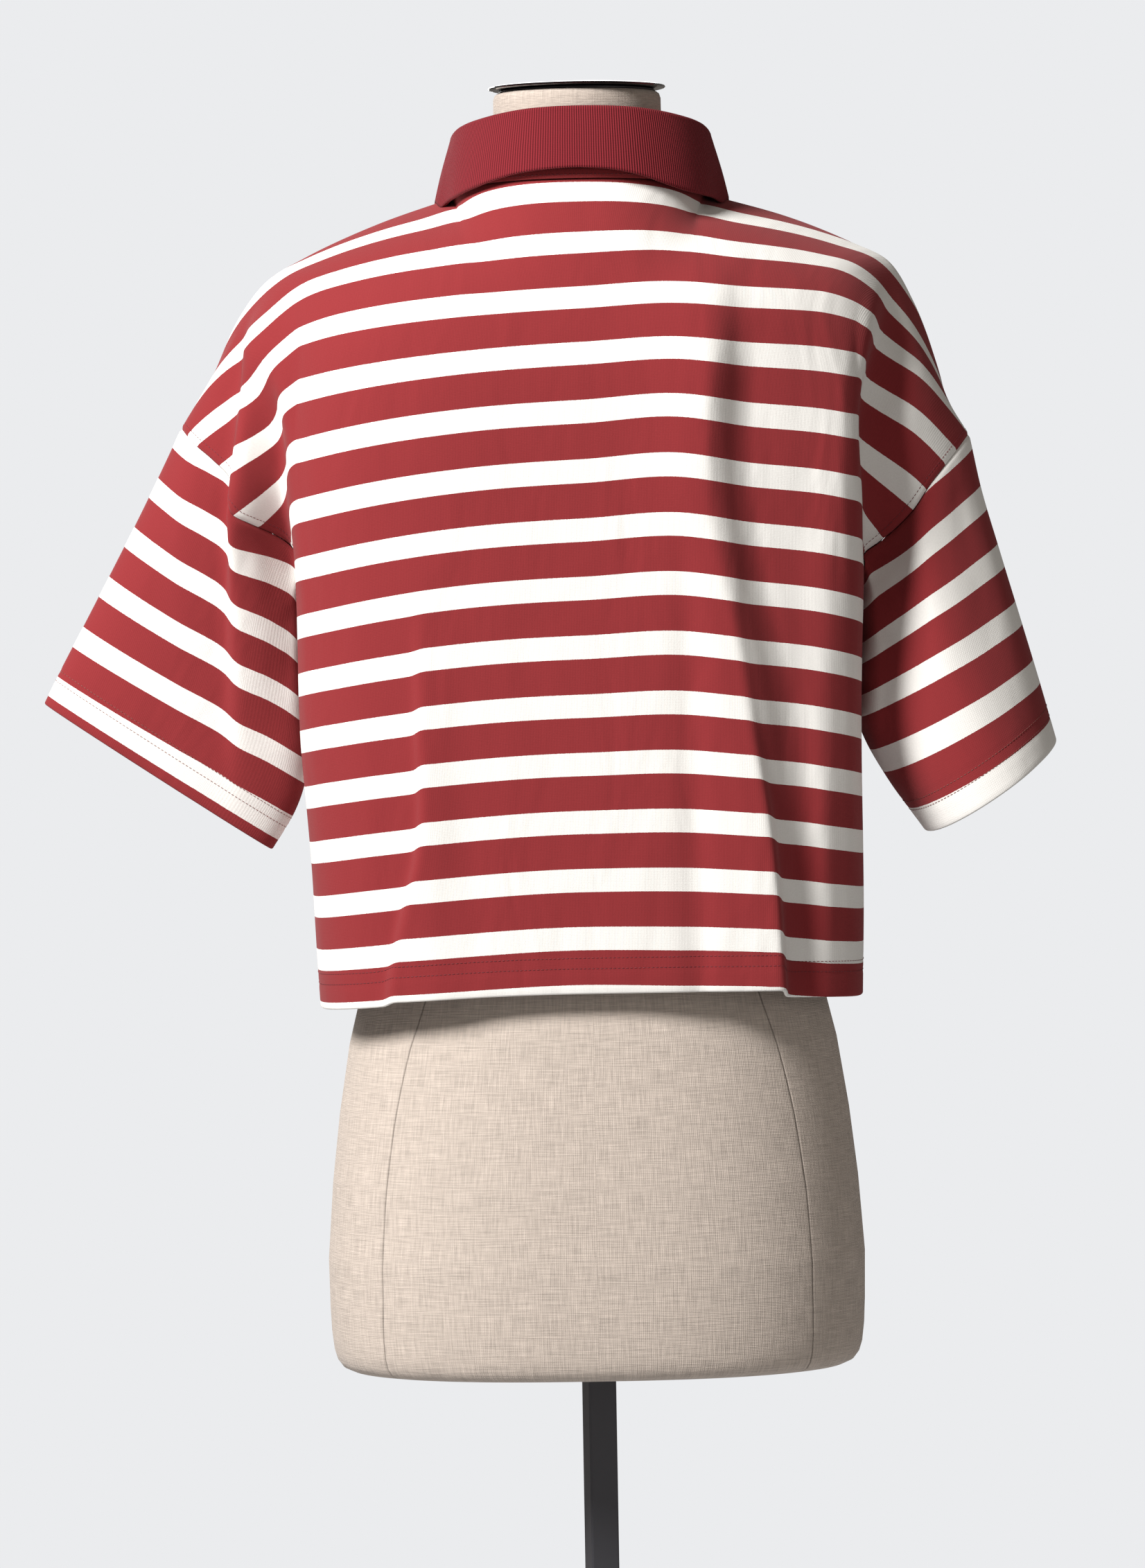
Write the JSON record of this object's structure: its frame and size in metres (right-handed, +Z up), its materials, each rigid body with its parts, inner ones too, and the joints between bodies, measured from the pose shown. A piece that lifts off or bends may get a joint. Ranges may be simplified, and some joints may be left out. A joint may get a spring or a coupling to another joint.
{
  "type": "polo shirt on a dress form",
  "caption": "Cropped boxy polo shirt in striped jersey with a rib collar and a button placket, worn by a linen dress form on a pole and a flat plate.",
  "frame": {"origin": "on the floor, at the middle of the plate's underside, under the pole's axis", "axes": "+Z up, the shirt's front faces -Y, the wearer's left is +X"},
  "size_m": [0.6341, 0.4296, 1.6126],
  "materials": {
    "striped_jersey": "matt",
    "rib_knit": "matt",
    "plain_jersey": "matt",
    "button_resin": "semi-gloss",
    "linen": "matt",
    "chrome": "polished",
    "black_steel": "satin"
  },
  "bodies": {
    "root": {"back_panel": "striped_jersey", "front_panel": "striped_jersey", "sleeve_left": "striped_jersey", "sleeve_right": "striped_jersey", "collar": "rib_knit", "neck_band": "plain_jersey", "placket_top": "plain_jersey", "placket_under": "plain_jersey", "button_1": "button_resin", "button_2": "button_resin", "button_3": "button_resin", "form_torso": "linen", "neck_boss": "black_steel", "neck_cap": "chrome", "pole": "black_steel", "base": "black_steel"}
  },
  "joints": []
}
